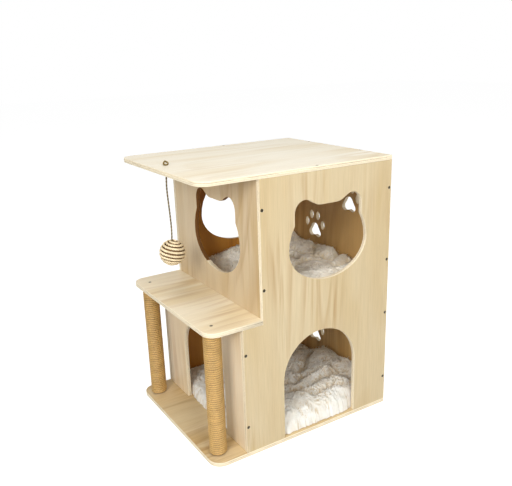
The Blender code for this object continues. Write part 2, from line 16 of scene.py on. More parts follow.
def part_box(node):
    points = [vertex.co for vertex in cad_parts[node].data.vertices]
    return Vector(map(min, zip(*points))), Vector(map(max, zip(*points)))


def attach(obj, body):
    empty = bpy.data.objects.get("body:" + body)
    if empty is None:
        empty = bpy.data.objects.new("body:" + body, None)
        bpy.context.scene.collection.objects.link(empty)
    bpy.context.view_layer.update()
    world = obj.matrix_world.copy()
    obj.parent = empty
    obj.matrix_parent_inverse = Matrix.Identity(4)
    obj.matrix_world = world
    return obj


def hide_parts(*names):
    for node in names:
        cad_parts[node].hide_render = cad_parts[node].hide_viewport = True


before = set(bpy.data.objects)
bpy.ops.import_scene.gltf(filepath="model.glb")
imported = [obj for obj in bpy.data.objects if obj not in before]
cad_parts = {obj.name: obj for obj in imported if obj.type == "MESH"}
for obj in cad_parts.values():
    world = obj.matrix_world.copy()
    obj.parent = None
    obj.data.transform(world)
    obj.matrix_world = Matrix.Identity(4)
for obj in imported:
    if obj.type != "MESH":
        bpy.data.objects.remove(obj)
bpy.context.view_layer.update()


def srgb(red, green, blue):
    """A colour written as it shows on a screen, from 0 to 255, made linear."""
    linear = []
    for level in (red, green, blue):
        share = level / 255
        linear.append(share / 12.92 if share <= 0.04045 else ((share + 0.055) / 1.055) ** 2.4)
    return (*linear, 1.0)


SEED = 20
X, Y, Z = 0, 1, 2

# The camera, fitted to the photograph's 512 x 486 frame; angles in degrees
FRAME_WIDTH = 512
FOCAL_PIXELS = 623.21
CAMERA_PLACE = (-0.71712, -1.17027, 0.81569)
CAMERA_YAW = 32.16
CAMERA_PITCH = 17.95
CAMERA_ROLL = -1.67
CAMERA_SHIFT = (-0.0124, 0.0224)
SENSOR_WIDTH = 36.0

# Each lamp's place, the point that it faces, its width and its watts
LAMPS = {
    "above": ((-0.5, -0.7, 2.4), (0, 0, 0.4), 1.2, 19),
    "front": ((-0.4, -2.3, 1.5), (0, 0, 0.3), 1.0, 20),
    "side": ((-1.9, -1.4, 1.35), (-0.15, 0, 0.3), 0.9, 33),
    "right": ((2.3, -0.9, 0.8), (0.2, 0, 0.3), 0.8, 16),
}
WORLD_STRENGTH = 0.32
FLOOR_SIZE = 12
FLOOR_HEIGHT = -0.0004
FLOOR_GREY = (0.60, 0.60, 0.60, 1)
FLOOR_GLOW = 0.80

# Boards
PLY = 0.0095
PLIES = 5
ARRIS = 0.0008
WELD = 0.00001
FLAT_ANGLE = math.radians(0.5)
ARRIS_ANGLE = math.radians(50)
SHARP_ANGLE = math.radians(35)

# Tones of the veneer: ground, bands, and streaks and rings. Every board is the same plywood, toned
# board by
# board to show as bright as it looks: painted light and shade, paler on the top for the light from
# above and darker on the base for its shade
FRONT_TONES = (srgb(214, 196, 159), srgb(198, 171, 120), srgb(167, 126, 70))
SIDE_TONES = (srgb(221, 201, 167), srgb(207, 180, 134), srgb(176, 137, 84))
LOWER_SIDE_TONES = (srgb(240, 222, 190), srgb(228, 203, 160), srgb(194, 156, 102))
TOP_LIT_TONES = (srgb(244, 236, 217), srgb(236, 223, 195), srgb(217, 195, 155))
SHELF_TONES = (srgb(246, 234, 208), srgb(232, 213, 174), srgb(192, 157, 108))
BASE_SHADED_TONES = (srgb(220, 198, 156), srgb(203, 173, 121), srgb(160, 118, 64))
# Inner faces: dark, warm tones as painted shade inside the house, darkest on the back wall and
# lighter on the right wall where the windows let light in
INSIDE_SHADE_TONES = (srgb(220, 170, 88), srgb(204, 146, 60), srgb(160, 98, 26))
INSIDE_BACK_SHADE_TONES = (srgb(204, 144, 60), srgb(186, 122, 42), srgb(138, 80, 16))
INSIDE_RIGHT_SHADE_TONES = (srgb(212, 176, 118), srgb(196, 154, 92), srgb(156, 110, 54))

# Tones of the boards' edges: their layers by turns, the painted shade on some window rims, and the
# seams between them
# The edges' layers are paler than the faces, partly as painted light on the cut rims
EDGE_TONES = (srgb(250, 238, 210), srgb(230, 208, 168))
RIM_SHADE_TONES = (srgb(124, 82, 36), srgb(92, 56, 18))
SEAM_TONE = srgb(120, 88, 52)

# Each board's thickness axis, grain axis, outer side (0 for both), tones of the outer and the inner
# side, and the place in the grain's noise that it is cut from
BOARDS = {
    "front_wall": (Y, Z, -1, FRONT_TONES, INSIDE_SHADE_TONES, (0.31, 0.12, 0.57)),
    "back_wall": (Y, Z, 1, FRONT_TONES, INSIDE_BACK_SHADE_TONES, (1.37, 0.82, 0.13)),
    "right_wall": (X, Z, 1, FRONT_TONES, INSIDE_RIGHT_SHADE_TONES, (2.11, 0.44, 0.91)),
    "upper_left_wall": (X, Z, -1, SIDE_TONES, INSIDE_SHADE_TONES, (3.73, 1.62, 0.27)),
    "lower_left_wall": (X, Z, -1, LOWER_SIDE_TONES, INSIDE_SHADE_TONES, (4.19, 2.33, 1.41)),
    "top_panel": (Z, X, 1, TOP_LIT_TONES, SIDE_TONES, (5.57, 3.21, 0.77)),
    "shelf_and_floor": (Z, X, 0, SHELF_TONES, SHELF_TONES, (6.83, 4.12, 1.93)),
    "base_panel": (Z, X, 0, BASE_SHADED_TONES, BASE_SHADED_TONES, (7.29, 5.47, 2.61)),
}
# The board whose window's rims are painted deep brown where they face the front: painted shade
SHADED_RIMS = "upper_left_wall"

# Twisted ropes: strands, length of one twist, how deep the grooves are as a share of the radius,
# and how far 'crown' falls in them. Tones: light, middle and dark fibres, and the painted shade in
# the dips
ROPE_SIDES = 12
POST_TWIST = (3, 0.013, 0.09, 0.25)
BALL_TWIST = (3, 0.016, 0.16, 0.70)
CORD_TWIST = (2, 0.015, 0.30, 0.95)
KNOT_TWIST = (2, 0.015, 0.30, 0.90)
SISAL_TONES = (srgb(244, 212, 142), srgb(214, 170, 98), srgb(160, 114, 52), srgb(104, 68, 24))
CREAM_TONES = (srgb(255, 244, 214), srgb(250, 230, 190), srgb(226, 196, 146), srgb(132, 92, 42))
CORD_TONES = (srgb(190, 176, 146), srgb(150, 134, 102), srgb(106, 92, 66), srgb(62, 54, 36))
KNOT_TONES = (srgb(164, 140, 88), srgb(126, 104, 58), srgb(84, 68, 34), srgb(66, 54, 28))

# Posts: the rope with small waves in its turns, as size, rate and start, and its loose fibres
GAP = 0.0003
ROPE_RADIUS = 0.0028
ROPE_TURNS = 57
ROPE_STEPS = 64
ROPE_WAVES = ((0.00012, 0.73, 0.0), (0.00010, 0.31, 1.0))
FUZZ_COUNT = 420
FUZZ_LENGTH = 0.008
FUZZ_WIDTH = 0.00009
FUZZ_START = 0.8
FUZZ_CLIMB = 0.05

# Ball; BALL_LOOP_POINTS is how many corners the solid's winding has in a turn
BALL_ROPE_RADIUS = 0.0031
BALL_PITCH = 0.0079
BALL_START_ANGLE = 9.0
BALL_LEAN = 10.0
BALL_LEAN_AXIS = (0.53, 0.85, 0.0)
BALL_STEPS = 72
BALL_LOOP_POINTS = 16
BALL_CLEARANCE = 0.0005
BALL_RIPPLE = 0.0003
BALL_RIPPLES_PER_METRE = 260

# Cord: its middle line as (share of the way down, sway aside). Its knot as (along the sway, away,
# up) in millimetres from the top panel over the hole
CORD_RADIUS = 0.0015
CORD_STRANDS_RADIUS = CORD_RADIUS * 1.25
KNOT_STRANDS_RADIUS = CORD_RADIUS * 1.2
CORD_SPACING = 0.00075
CORD_ROUTE = (
    (0.0, 0.0), (0.10, -0.0014), (0.20, -0.0020), (0.30, -0.0018), (0.42, -0.0009), (0.54, 0.0001),
    (0.66, 0.0009), (0.78, 0.0015), (0.88, 0.0012), (0.95, 0.0005), (1.0, 0.0),
)
CORD_SWAY_TOWARDS = (0.847, -0.532, 0.0)
KNOT_ROUTE = (
    (0, 0, -9.2), (0, 0, -4), (-0.6, -0.4, 0.8), (-3.6, -1.0, 2.2), (-4.7, -1.2, 4.6),
    (-2.6, -1.6, 7.0), (0.8, -1.8, 7.6), (3.8, -2.0, 6.2), (4.9, -2.4, 4.0), (3.2, -3.2, 2.0),
    (0.2, -4.2, 1.6), (-3.0, -4.4, 2.4), (-4.6, -4.2, 4.3), (-3.6, -3.8, 6.4), (-1.6, -3.2, 8.2),
    (0.0, -2.4, 10.0),
)

# Screws: the recess is a cross of four arms, whose reach and waist are shares of the head's radius.
# SCREW_FACES gives the axis and the side that a head faces, by the first word of its node's name
SCREW_SIDES = 32
SCREW_HEAD = 0.0035
SCREW_SHANK = 0.00175
SCREW_DEPTH = 0.0024
SCREW_LENGTH = 0.0298
SCREW_TIP = 0.004
SCREW_ARRIS = 0.00012
SCREW_SHARP_ANGLE = math.radians(30)
SCREW_TURN = 1.3
RECESS_ARM = 0.62
RECESS_WAIST = 0.32
RECESS_DEPTH = 0.0013
RECESS_NARROWING = 0.55
SCREW_FACES = {
    "front": (Y, -1), "back": (Y, 1), "top": (Z, 1), "shelf": (Z, 1), "base": (Z, -1),
    "floor": (X, 1),
}

# The mats' place: where their millimetres start in the plan, and how high their upper side starts
# and their underside lies over the floor
MAT_ORIGIN = (-0.154, -0.194)
MAT_LIFT = 0.0004
MAT_UNDERSIDE = 0.0003

# The plush's form in millimetres, and its painted shade. FOLD_SHADE: painted shade in the folds, as
# how
# much a fold darkens a lock's crest, and how much all of it. SWELL and LUMP: size and rise.
# LOCK_ANGLES:
# how the locks are combed, and a place in the noise. LOCK_SIZES: share, length and width.
# FRINGE_REACH:
# middle, change and most
MAT_MARGIN = 3
FOLD_SHARPNESS = 1.4
FOLD_SHADE = (0.55, 0.15)
WANDER_SIZE = 34
WANDER_REACH = 7
SWELL = (52, 3.2)
LUMP = (19, 1.9)
LOCK_HEIGHT = 4.5
LOCK_BEND_SIZE = 30
LOCK_BEND = 14
LOCK_PATCH = 24
LOCK_ANGLES = ((-0.75, (1, 5, 2)), (0.15, (8, 2, 6)), (0.95, (4, 7, 1)))
LOCK_SIZES = ((0.75, 9, 5.2), (0.35, 4.5, 2.6))
FRINGE_SIZE = 5
FRINGE_REACH = (5.0, 3.5, 8.0)
FRINGE_INSET = 5
FRINGE_BLEND = 8
FRINGE_FADE = 6

# The loose fibres; one that a wall moves or widens by more than it may is left out
PILE_LENGTH = 0.0140
PILE_SPREAD = PILE_LENGTH * 0.22
FIBRES_PER_LOCK = 6
FIBRE_WIDTH = 0.00022
FIBRE_MAY_MOVE = 0.004
FIBRE_MAY_WIDEN = 0.0008
SILL_REACH = 0.0080
WALL_MARGIN = 0.0006

# Tones of the plush: painted shade in the partings and folds, and the tips. Both mats are one plush;
# the upper one is paler all over as painted light
LOWER_PLUSH_SHADE_TONES = (srgb(198, 175, 132), srgb(241, 240, 234))
UPPER_PLUSH_SHADE_TONES = (srgb(250, 238, 206), srgb(255, 252, 242))

# The two mats. wall_side and open_side: (y, height) along the right and the left wall. climb: how
# late the rise from left to right comes. mounds: x, y, rise, and reach along x and y. creases:
# lines of (x, y). edge_radius: how round the mat falls off at the left, right, front and back.
# grid: its points along x and y. doors: the spans of the front, back and left doorway, in metres;
# those of NO_DOORS lie outside the house
NO_DOORS = ((9, 9.1), (9, 9.1), (9, 9.1))
LOWER_MAT = {
    "left_wall": "lower_left_wall",
    "floor": "base_panel",
    "wall_side": ((0, 42), (60, 56), (114, 65), (149, 51), (174, 54), (206, 54), (234, 42),
                  (261, 34), (294, 29), (321, 22), (388, 20)),
    "open_side": ((0, 24), (90, 30), (200, 26), (300, 24), (388, 24)),
    "climb": 1.6,
    "mounds": (
        (200, 62, 10, 90, 34), (300, 40, 9, 50, 30), (90, 70, 8, 60, 45), (215, 150, 9, 60, 26),
        (300, 120, 12, 46, 30), (345, 178, 12, 34, 40), (130, 190, 8, 60, 40),
        (250, 250, 8, 60, 40), (120, 300, 9, 70, 50), (300, 320, 6, 60, 40),
    ),
    "creases": (
        ((172, 106), (199, 100), (227, 93), (257, 97), (287, 96), (308, 101)),
        ((172, 108), (201, 94), (217, 58), (251, 59), (282, 55), (314, 36)),
        ((304, 95), (320, 77), (323, 51)),
        ((314, 130), (323, 88), (334, 60)),
        ((200, 142), (212, 127), (244, 138), (273, 131), (314, 130)),
        ((242, 160), (271, 175), (303, 204), (347, 235)),
        ((60, 250), (170, 262), (262, 232), (303, 204)),
        ((190, 330), (262, 300), (330, 290), (372, 262)),
        ((40, 150), (110, 120), (172, 108)),
    ),
    "crease_depth": 13,
    "crease_reach": 10,
    "edge_radius": (16, 8, 20, 14),
    "grid": (236, 240),
    "locks": 3400,
    "doors": ((-0.0578, 0.1372), (-0.0578, 0.1372), (-0.106, 0.089)),
}
UPPER_MAT = {
    "left_wall": "upper_left_wall",
    "floor": "shelf_and_floor",
    "wall_side": ((0, 30), (85, 34), (103, 42), (125, 45), (152, 38), (174, 49), (214, 46),
                  (260, 45), (303, 42), (321, 46), (339, 57), (358, 53), (388, 40)),
    "open_side": ((0, 26), (90, 30), (200, 26), (300, 20), (388, 18)),
    "climb": 1.5,
    "mounds": (
        (150, 60, 10, 60, 36), (240, 78, 12, 70, 34), (330, 60, 8, 36, 40), (260, 160, 9, 50, 30),
        (340, 165, 6, 32, 36), (170, 190, 8, 60, 40), (330, 250, 5, 36, 40), (190, 325, 18, 55, 38),
    ),
    "creases": (
        ((70, 150), (140, 134), (212, 140), (265, 161), (304, 147), (302, 87), (364, 101)),
        ((310, 264), (300, 201), (326, 181), (319, 120), (364, 151), (388, 167)),
        ((303, 165), (351, 232), (387, 260)),
        ((284, 238), (260, 173), (285, 154)),
        ((110, 240), (200, 226), (260, 173)),
        ((190, 330), (260, 300), (310, 264)),
    ),
    "crease_depth": 9,
    "crease_reach": 9,
    "edge_radius": (20, 8, 18, 10),
    "grid": (210, 240),
    "locks": 3000,
    "doors": NO_DOORS,
}


class Paint:
    """One material and short calls that add nodes to it."""

    def __init__(self, name, roughness, specular, metallic=0.0):
        self.material = bpy.data.materials.new(name)
        self.material.use_nodes = True
        self.tree = self.material.node_tree
        self.shader = self.tree.nodes["Principled BSDF"]
        self.shader.inputs["Roughness"].default_value = roughness
        self.shader.inputs["Metallic"].default_value = metallic
        self.shader.inputs["Specular IOR Level"].default_value = specular

    def put(self, socket, value):
        if isinstance(value, bpy.types.NodeSocket):
            self.tree.links.new(value, socket)
        else:
            socket.default_value = value

    def node(self, kind, **inputs):
        node = self.tree.nodes.new(kind)
        for key, value in inputs.items():
            self.put(node.inputs[key.replace("_", " ")], value)
        return node

    def place(self, scale=(1, 1, 1), offset=(0, 0, 0)):
        """The point on the object in metres, moved and scaled."""
        source = self.node("ShaderNodeTexCoord").outputs["Object"]
        mapping = self.node("ShaderNodeMapping", Vector=source, Location=offset, Scale=scale)
        return mapping.outputs[0]

    def axis(self, index):
        source = self.node("ShaderNodeTexCoord").outputs["Object"]
        return self.node("ShaderNodeSeparateXYZ", Vector=source).outputs[index]

    def noise(self, vector, scale, detail, roughness, distortion=0.0):
        node = self.node("ShaderNodeTexNoise", Vector=vector, Scale=scale, Detail=detail,
                         Roughness=roughness, Distortion=distortion)
        return node.outputs["Fac"]

    def attribute(self, name):
        node = self.tree.nodes.new("ShaderNodeAttribute")
        node.attribute_name = name
        return node.outputs["Fac"]

    def math(self, operation, a, b=0.0):
        node = self.tree.nodes.new("ShaderNodeMath")
        node.operation = operation
        self.put(node.inputs[0], a)
        self.put(node.inputs[1], b)
        return node.outputs[0]

    def times(self, a, b):
        return self.math("MULTIPLY", a, b)

    def ramp(self, factor, *stops):
        """A colour ramp; each stop is (position, colour or grey level)."""
        node = self.node("ShaderNodeValToRGB", Fac=factor)
        elements = node.color_ramp.elements
        for n, (position, colour) in enumerate(stops):
            element = elements[n] if n < 2 else elements.new(position)
            element.position = position
            element.color = colour if hasattr(colour, "__len__") else (colour, colour, colour, 1)
        return node.outputs[0]

    def mix(self, factor, a, b, mode="MIX"):
        node = self.tree.nodes.new("ShaderNodeMix")
        node.data_type = "RGBA"
        node.blend_type = mode
        self.put(node.inputs[0], factor)
        self.put(node.inputs[6], a)
        self.put(node.inputs[7], b)
        return node.outputs[2]

    def toned(self, base, tone):
        """A colour made darker or lighter by another one all over."""
        return self.mix(1.0, base, tone, "MULTIPLY")

    def colour(self, value):
        self.put(self.shader.inputs["Base Color"], value)

    def bump(self, height, strength, distance):
        node = self.node("ShaderNodeBump", Height=height, Strength=strength, Distance=distance)
        self.put(self.shader.inputs["Normal"], node.outputs[0])


def plywood_face(name, grain, offset, light, streak, deep):
    """Rotary-cut veneer: a pale ground, warm bands, streaks along the grain, flame-shaped rings."""
    paint = Paint(name, roughness=0.50, specular=0.35)

    def drawn_out(share, shift=0.0):
        """Places for a noise that is drawn out along the grain."""
        scale = [1.0, 1.0, 1.0]
        scale[grain] = share
        return paint.place(scale, [value + shift for value in offset])

    ground = paint.noise(drawn_out(0.35), 8, 2, 0.5, 0.3)
    bands = paint.noise(drawn_out(0.09, 3.1), 21, 1.5, 0.45, 0.25)
    places = paint.noise(drawn_out(0.50, 5.3), 7, 1, 0.5)
    streaks = paint.noise(drawn_out(0.030, 7.7), 85, 3, 0.6, 0.10)
    fibres = paint.noise(drawn_out(0.02), 900, 2, 0.6)
    field = paint.noise(drawn_out(0.17, 1.9), 6.0, 1, 0.4, 0.30)
    rings = paint.math("FRACT", paint.times(field, 13.0))
    ground_share = paint.times(paint.ramp(ground, (0.38, 0.0), (0.64, 1.0)), 0.45)
    base = paint.mix(ground_share, light, streak)
    placed = paint.ramp(places, (0.42, 0.15), (0.60, 1.0))
    band_share = paint.ramp(bands, (0.50, 0.0), (0.57, 0.85), (0.75, 1.0))
    base = paint.mix(paint.times(band_share, placed), base, streak)
    ring_share = paint.ramp(rings, (0.0, 0.04), (0.42, 0.0), (0.86, 0.40), (0.96, 0.08),
                            (1.0, 0.04))
    ring_places = paint.ramp(places, (0.42, 0.15), (0.62, 1.0))
    base = paint.mix(paint.times(ring_share, ring_places), base, deep)
    streak_share = paint.ramp(streaks, (0.54, 0.0), (0.74, 0.75))
    base = paint.mix(paint.times(streak_share, placed), base, deep)
    paint.colour(paint.toned(base, paint.ramp(fibres, (0.30, 0.91), (0.70, 1.03))))
    paint.bump(paint.math("ADD", fibres, paint.times(rings, 0.3)), 0.10, 0.0004)
    return paint.material


def plywood_edge(name, axis, low, offset, light, dark):
    """The layers of the board's edge, alternately along and across, with thin glue lines.

    Where the veneers don't quite meet, the seam over the third layer is open and dark."""
    paint = Paint(name, roughness=0.62, specular=0.3)
    depth = paint.times(paint.math("SUBTRACT", paint.axis(axis), low), PLIES / PLY)
    share = paint.math("FRACT", depth)
    layer = paint.math("MODULO", paint.math("FLOOR", depth), 2.0)
    glue = paint.ramp(share, (0.0, 1.0), (0.10, 0.0), (0.90, 0.0), (1.0, 1.0))
    grain = paint.noise(paint.place((1, 1, 1), offset), 420, 3, 0.65)
    base = paint.mix(paint.times(layer, 0.50), light, dark)
    base = paint.mix(paint.times(glue, 0.45), base, dark)
    from_seam = paint.math("ABSOLUTE", paint.math("SUBTRACT", depth, 3.0))
    seam = paint.ramp(paint.math("SUBTRACT", 1.0, from_seam), (0.70, 0.0), (0.88, 0.75))
    open_places = paint.noise(paint.place((1, 1, 1), offset[::-1]), 26, 2, 0.5)
    gaps = paint.ramp(open_places, (0.44, 0.0), (0.60, 1.0))
    base = paint.mix(paint.times(seam, gaps), base, SEAM_TONE)
    paint.colour(paint.toned(base, paint.ramp(grain, (0.30, 0.86), (0.70, 1.05))))
    paint.bump(paint.math("SUBTRACT", grain, glue), 0.15, 0.0004)
    return paint.material


def rope_paint(name, tones, dip_edge, roughness=0.85, specular=0.2):
    """Coarse plant fibre in strands; the attribute 'crown' is 0 in the dips and 1 on the crowns, and
    the dips take painted shade.
    """
    light, middle, dark, dip_shade = tones
    paint = Paint(name, roughness, specular)
    where = paint.place()
    strands = paint.noise(where, 1400, 3, 0.7)
    patches = paint.noise(where, 55, 2, 0.5)
    base = paint.ramp(strands, (0.30, dark), (0.48, middle), (0.66, light))
    base = paint.toned(base, paint.ramp(patches, (0.30, 0.86), (0.70, 1.08)))
    # Painted shade in the dips between the strands and turns
    dip_shade_share = paint.ramp(paint.attribute("crown"), (0.10, 1.0), (dip_edge, 0.0))
    paint.colour(paint.mix(dip_shade_share, base, dip_shade))
    paint.bump(strands, 0.5, 0.0004)
    return paint.material


def plain_paint(name, light, dark, scale, roughness, metallic=0.0):
    """Two tones in fine noise, for cores and screws."""
    paint = Paint(name, roughness, 0.4, metallic)
    grain = paint.noise(paint.place(), scale, 3, 0.6)
    paint.colour(paint.ramp(grain, (0.32, dark), (0.68, light)))
    paint.bump(grain, 0.2, 0.0003)
    return paint.material


def plush_paint(name, root, tip):
    """White pile: the attribute 'tip' goes from 0, painted shade in the partings and folds, to 1 on
    the crests and the loose fibres.
    """
    paint = Paint(name, roughness=0.95, specular=0.1)
    patches = paint.noise(paint.place(), 28, 3, 0.6)
    pile_tone = paint.ramp(paint.attribute("tip"), (0.0, root), (0.5, tip))
    tone = paint.ramp(patches, (0.30, srgb(248, 243, 235)), (0.62, srgb(255, 255, 255)))
    paint.colour(paint.toned(pile_tone, tone))
    paint.shader.inputs["Sheen Weight"].default_value = 0.25
    paint.shader.inputs["Sheen Roughness"].default_value = 0.6
    return paint.material


def add_piece(name, mesh, body, node, place=None):
    """Links a finished mesh, rides it on its body and hides the solid that it stands for."""
    piece = bpy.data.objects.new(name, mesh)
    bpy.context.scene.collection.objects.link(piece)
    if place:
        piece.matrix_world = place
    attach(piece, body)
    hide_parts(node)
    return piece


def mesh_from(name, points, faces, material):
    mesh = bpy.data.meshes.new(name)
    mesh.from_pydata([tuple(point) for point in points], [], faces)
    mesh.materials.append(material)
    mesh.shade_smooth()
    mesh.update()
    return mesh


def finished(bm, name, *materials):
    """A bmesh as a smooth mesh with its materials."""
    mesh = bpy.data.meshes.new(name)
    bm.to_mesh(mesh)
    bm.free()
    for material in materials:
        mesh.materials.append(material)
    mesh.shade_smooth()
    return mesh


def set_values(mesh, name, values):
    """One number per point for the materials; points past the last value get 1."""
    full = np.ones(len(mesh.vertices), np.float32)
    full[:len(values)] = values
    mesh.attributes.new(name, "FLOAT", "POINT").data.foreach_set("value", full)


def middle_of(node):
    low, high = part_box(node)
    return (low + high) / 2


def unit(vectors):
    return vectors / np.maximum(np.linalg.norm(vectors, axis=1), 1e-9)[:, None]


def soften_arrises(bm, thickness):
    """Bevels the edges round the board's two faces, its openings' edges too."""
    arrises = []
    for edge in bm.edges:
        if len(edge.link_faces) == 2 and edge.calc_face_angle() > ARRIS_ANGLE:
            if any(abs(face.normal[thickness]) > 0.99 for face in edge.link_faces):
                arrises.append(edge)
    bmesh.ops.bevel(bm, geom=arrises, offset=ARRIS, segments=2, profile=0.5, affect="EDGES",
                    clamp_overlap=True)


def dress_board(node, thickness, grain, outer_side, tones, inner_tones, offset):
    """A copy of a board with softened arrises, veneer on its faces and layers on its edges."""
    bm = bmesh.new()
    bm.from_mesh(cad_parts[node].data)
    bmesh.ops.remove_doubles(bm, verts=bm.verts, dist=WELD)
    bmesh.ops.dissolve_limit(bm, angle_limit=FLAT_ANGLE, verts=bm.verts, edges=bm.edges)
    soften_arrises(bm, thickness)
    for face in bm.faces:
        side = face.normal[thickness]
        face.material_index = 2
        # Inner faces take the inner tones, which on the walls are painted shade inside the house
        if abs(side) > 0.9:
            face.material_index = 0 if side * outer_side > 0 or outer_side == 0 else 1
        # Its window's rims that face the front get the rim tones: painted shade
        elif node == SHADED_RIMS and face.normal.y < -0.35 and abs(side) < 0.1:
            face.material_index = 3
    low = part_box(node)[0][thickness]
    materials = [
        plywood_face(node + "_face", grain, offset, *tones),
        plywood_face(node + "_inside", grain, offset, *inner_tones),
        plywood_edge(node + "_edge", thickness, low, offset, *EDGE_TONES),
    ]
    if node == SHADED_RIMS:
        materials.append(plywood_edge(node + "_rim_shade", thickness, low, offset, *RIM_SHADE_TONES))
    mesh = finished(bm, node, *materials)
    mesh.set_sharp_from_angle(angle=SHARP_ANGLE)
    for polygon in mesh.polygons:
        polygon.use_smooth = abs(polygon.normal[thickness]) < 0.999
    add_piece(node + "_ply", mesh, "house", node)


def smooth_line(points, spacing):
    """Points evenly spaced along a smooth curve through the given ones."""
    points = [Vector(point) for point in points]
    padded = [2 * points[0] - points[1]] + points + [2 * points[-1] - points[-2]]
    steps = 16
    dense = []
    for a, b, c, d in zip(padded, padded[1:], padded[2:], padded[3:]):
        for k in range(steps):
            t = k / steps
            dense.append(0.5 * (2 * b + (c - a) * t + (2 * a - 5 * b + 4 * c - d) * t * t
                                + (3 * b - a - 3 * c + d) * t ** 3))
    dense.append(points[-1])
    return respaced(dense, spacing)


def travel_along(line):
    """How far along the line each of its points lies."""
    steps = np.linalg.norm(np.diff(line, axis=0), axis=1)
    return np.concatenate(([0.0], np.cumsum(steps)))


def respaced(dense, spacing):
    """The same line with its points evenly spaced."""
    line = np.array(dense)
    travel = travel_along(line)
    count = max(2, round(travel[-1] / spacing))
    marks = np.linspace(0, travel[-1], count + 1)
    return np.stack([np.interp(marks, travel, line[:, k]) for k in range(3)], axis=1)


def line_frames(line):
    """Two cross directions at each point of a line, turned as little as possible."""
    tangents = np.gradient(line, axis=0)
    tangents /= np.linalg.norm(tangents, axis=1)[:, None]
    first = np.cross(tangents[0], (0.31, 0.17, 0.94))
    across = np.empty_like(line)
    across[0] = first / np.linalg.norm(first)
    for k in range(1, len(line)):
        kept = across[k - 1] - tangents[k] * np.dot(across[k - 1], tangents[k])
        across[k] = kept / np.linalg.norm(kept)
    return across, np.cross(tangents, across)


def rope_geometry(line, radius, twist, outward=None):
    """A twisted rope: points, faces, and each point's height between dip (0) and crown (1).

    With outward, the side of the rope that faces inward counts as a dip too and takes the dips'
    painted shade."""
    strands, lay, groove, dips = twist
    across, over = line_frames(line)
    around = np.arange(ROPE_SIDES) * 2 * math.pi / ROPE_SIDES
    turned = around[None, :] + (2 * math.pi / lay) * travel_along(line)[:, None]
    lobes = np.abs(np.cos(around * strands / 2))
    reach = radius * (1 - groove * (1 - lobes))
    spokes = (np.cos(turned)[:, :, None] * across[:, None, :]
              + np.sin(turned)[:, :, None] * over[:, None, :])
    points = line[:, None, :] + reach[None, :, None] * spokes
    crown = np.tile(1 - dips * (1 - lobes), (len(line), 1))
    if outward is not None:
        crown *= np.clip(0.15 + np.sum(spokes * outward[:, None, :], axis=2), 0, 1)
    faces = []
    for ring in range(len(line) - 1):
        a, b = ring * ROPE_SIDES, (ring + 1) * ROPE_SIDES
        for k in range(ROPE_SIDES):
            n = (k + 1) % ROPE_SIDES
            faces.append((a + k, a + n, b + n, b + k))
    faces.append(tuple(range(ROPE_SIDES))[::-1])
    last = (len(line) - 1) * ROPE_SIDES
    faces.append(tuple(last + k for k in range(ROPE_SIDES)))
    return points.reshape(-1, 3), faces, crown.ravel()


def add_rope(name, line, radius, twist, material, body, node, outward=None):
    """A twisted rope as a piece of its own."""
    points, faces, crown = rope_geometry(line, radius, twist, outward)
    mesh = mesh_from(name, points, faces, material)
    set_values(mesh, "crown", crown)
    return add_piece(name, mesh, body, node)


def add_fuzz(points, faces, roots, tangents, outward, rng):
    """Adds loose fibres: thin tapered blades that leave the rope at a slant."""
    points = list(map(tuple, points))
    for root, tangent, out in zip(roots, tangents, outward):
        slant = tangent * rng.uniform(-1, 1) + out * rng.uniform(0.25, 0.8)
        slant = slant / np.linalg.norm(slant)
        side = np.cross(slant, out + 0.01)
        side = side / np.linalg.norm(side) * FUZZ_WIDTH
        reach = FUZZ_LENGTH * rng.uniform(0.4, 1.0)
        middle = root + slant * reach * 0.55
        tip = root + slant * reach * 0.9 + tangent * reach * rng.uniform(-0.25, 0.25)
        start = len(points)
        points += [tuple(root - side), tuple(root + side), tuple(middle + side * 0.6),
                   tuple(middle - side * 0.6), tuple(tip)]
        faces += [(start, start + 1, start + 2, start + 3), (start + 3, start + 2, start + 4)]
    return points, faces


def dress_post(end, material, rng):
    """The sisal round one post: one rope from the base to the shelf in close turns."""
    node = end + "_post_winding"
    core_low, core_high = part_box(end + "_post_core")
    middle = middle_of(end + "_post_core")
    radius = (core_high.x - core_low.x) / 2 + GAP + ROPE_RADIUS
    low, high = core_low.z + ROPE_RADIUS, core_high.z - ROPE_RADIUS
    count = ROPE_TURNS * ROPE_STEPS
    steps = np.arange(count + 1)
    angles = steps * 2 * math.pi / ROPE_STEPS
    waves = sum(size * np.sin(angles * rate + start) for size, rate, start in ROPE_WAVES)
    line = np.stack([
        middle.x + radius * np.cos(angles),
        middle.y + radius * np.sin(angles),
        low + (high - low) * steps / count + waves,
    ], axis=1)
    spokes = np.stack([np.cos(angles), np.sin(angles), 0 * angles], axis=1)
    points, faces, crown = rope_geometry(line, ROPE_RADIUS, POST_TWIST, outward=spokes)
    picks = rng.integers(0, count, FUZZ_COUNT)
    outward = spokes[picks]
    roots = line[picks] + outward * ROPE_RADIUS * FUZZ_START
    tangents = np.stack([-outward[:, 1], outward[:, 0], np.full(FUZZ_COUNT, FUZZ_CLIMB)], axis=1)
    points, faces = add_fuzz(points, faces, roots, tangents, outward, rng)
    mesh = mesh_from(node, points, faces, material)
    set_values(mesh, "crown", crown)
    add_piece(end + "_post_sisal", mesh, "house", node)


